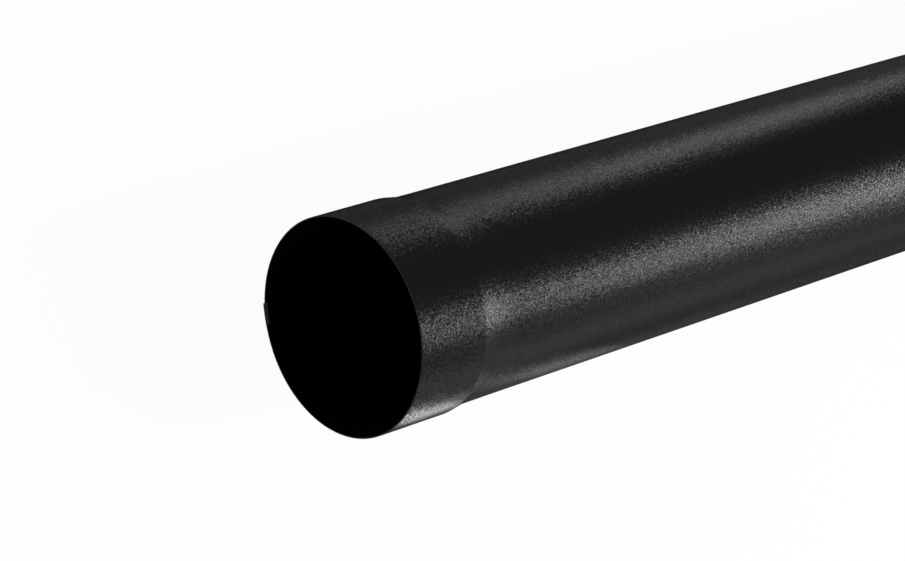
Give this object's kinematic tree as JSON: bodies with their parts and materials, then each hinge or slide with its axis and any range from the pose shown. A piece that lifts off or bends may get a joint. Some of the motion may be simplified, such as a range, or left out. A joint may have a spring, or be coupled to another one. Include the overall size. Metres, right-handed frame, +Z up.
{
  "type": "steel downpipe",
  "caption": "Round sheet-steel downpipe with a belled socket at one end, a plain end at the other and a folded seam along it.",
  "frame": {"origin": "centre of the socket's mouth, on the pipe's axis", "axes": "+X along the pipe from the socket's mouth to the plain end, +Z up, with the folded seam underneath, a little to the +Y side"},
  "size_m": [1, 0.0928, 0.0929],
  "materials": {
    "coated_steel": "matt black fine-textured coating on sheet steel"
  },
  "bodies": {
    "root": {"downpipe": "coated_steel"}
  },
  "joints": []
}
